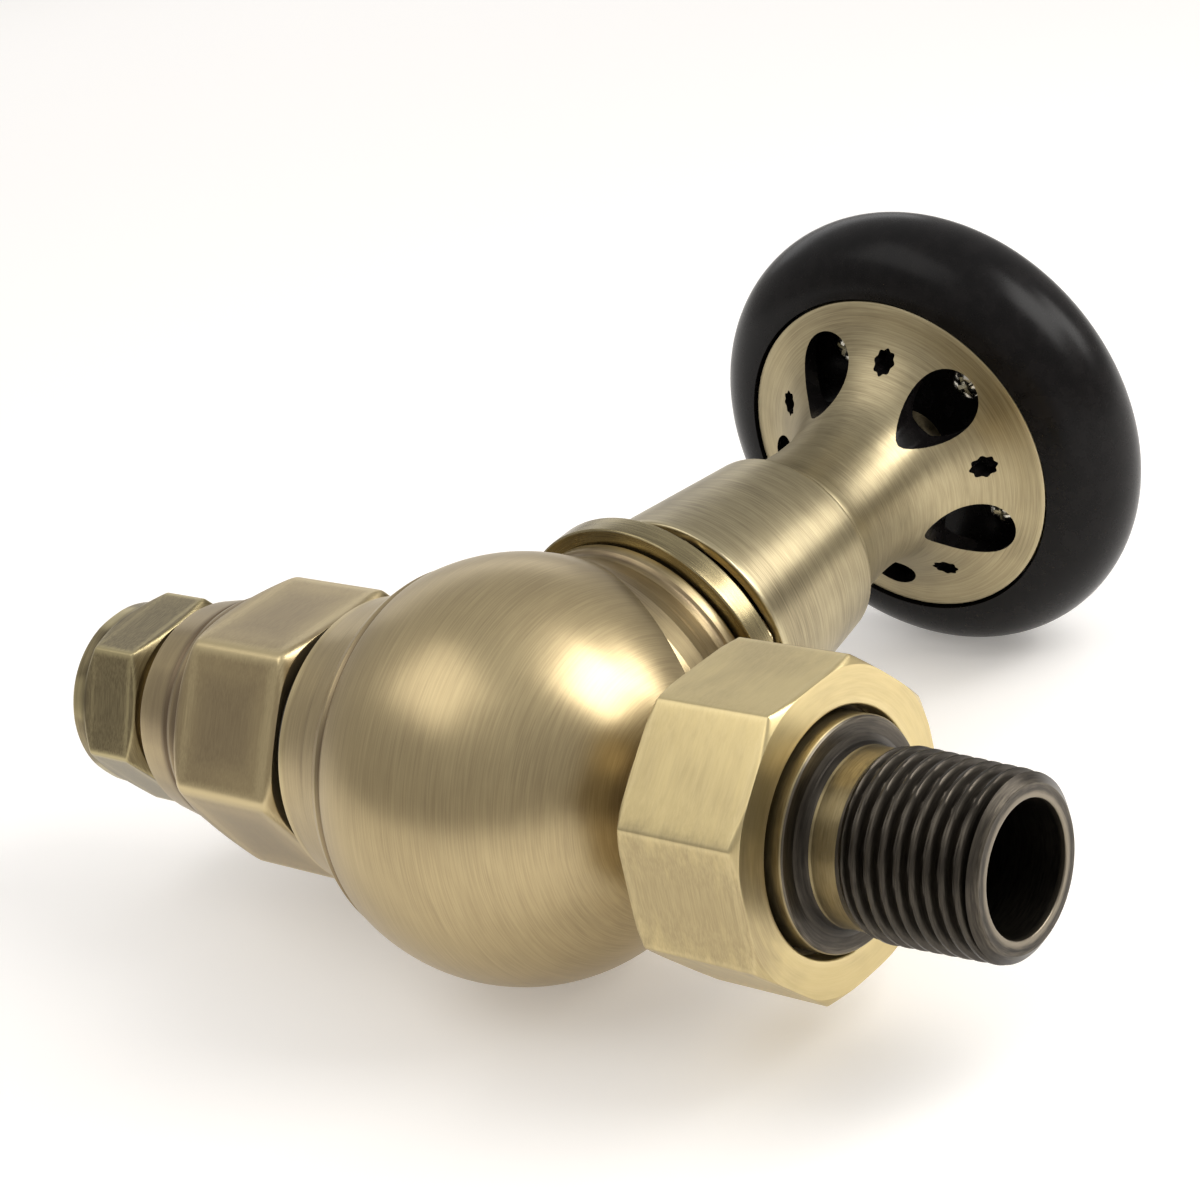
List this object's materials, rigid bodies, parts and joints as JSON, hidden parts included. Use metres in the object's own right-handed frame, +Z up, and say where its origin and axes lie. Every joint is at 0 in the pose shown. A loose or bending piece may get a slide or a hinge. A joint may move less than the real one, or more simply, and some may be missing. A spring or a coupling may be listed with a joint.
{
  "type": "radiator valve",
  "caption": "Straight throttle valve for a radiator: brushed antique brass ball body, compression inlet, octagonal union with threaded tail, black-rimmed handwheel, lying on its side.",
  "frame": {"origin": "on the ground under the middle of the bounding box, with the valve lying on its side", "axes": "+X along the flow axis from the pipe end to the threaded tail; +Y level, the way the stem points; +Z up"},
  "size_m": [0.139, 0.1242, 0.0629],
  "materials": {
    "antique_brass": "brushed, aged, clear lacquer",
    "light_brass": "brushed, lightly aged",
    "olive_brass": "brushed, darkly aged",
    "gunmetal": "blackened, edges worn",
    "raw_brass": "as machined",
    "nickel": "nickel plated",
    "black_lacquer": "satin black lacquer",
    "rubber": "matt",
    "packing": "matt"
  },
  "bodies": {
    "valve": {"valve_body": "antique_brass", "inlet_adaptor": "antique_brass", "inlet_o_ring": "rubber", "olive": "raw_brass", "tail_seal": "rubber", "collar_ring": "olive_brass", "bonnet": "olive_brass", "bonnet_seal": "rubber", "gland_packing": "packing", "gland_nut": "raw_brass", "shroud": "antique_brass"},
    "pipe_nut": {"compression_nut": "olive_brass"},
    "union": {"union_nut": "light_brass"},
    "tailpiece": {"tail": "gunmetal"},
    "wheel": {"spindle": "raw_brass", "wheel_hub": "antique_brass", "wheel_rim": "black_lacquer", "wheel_cover": "antique_brass", "wheel_screw_1": "nickel", "wheel_screw_2": "nickel", "wheel_screw_3": "nickel", "wheel_screw_4": "nickel", "wheel_screw_5": "nickel", "hub_washer": "nickel", "hub_screw": "nickel"},
    "disc": {"disc_carrier": "raw_brass", "seat_disc": "rubber", "disc_nut": "raw_brass"}
  },
  "joints": [
    {"name": "wheel_turn", "type": "hinge", "parent": "valve", "child": "wheel", "pos_m": [-0.0005, 0.02336, 0.02959], "axis": [0, 0.9979, 0.0649], "range_deg": [-540, 540]},
    {"name": "disc_travel", "type": "slide", "parent": "valve", "child": "disc", "axis": [0, 0.9979, 0.0649], "range_m": [-0.003, 0.003]},
    {"name": "union_nut_turn", "type": "hinge", "parent": "valve", "child": "union", "pos_m": [0.0375, -0.03652, 0.02569], "axis": [1, 0, 0], "range_deg": [0, 360]},
    {"name": "tail_swivel", "type": "hinge", "parent": "valve", "child": "tailpiece", "pos_m": [0.0545, -0.03652, 0.02569], "axis": [1, 0, 0], "continuous": true},
    {"name": "compression_nut_turn", "type": "hinge", "parent": "valve", "child": "pipe_nut", "pos_m": [-0.0625, -0.03652, 0.02569], "axis": [1, 0, 0], "range_deg": [-360, 0]}
  ],
  "couplings": [
    {"joint": "disc_travel", "follows": "wheel_turn", "m_per_rad": 0.0003183}
  ]
}
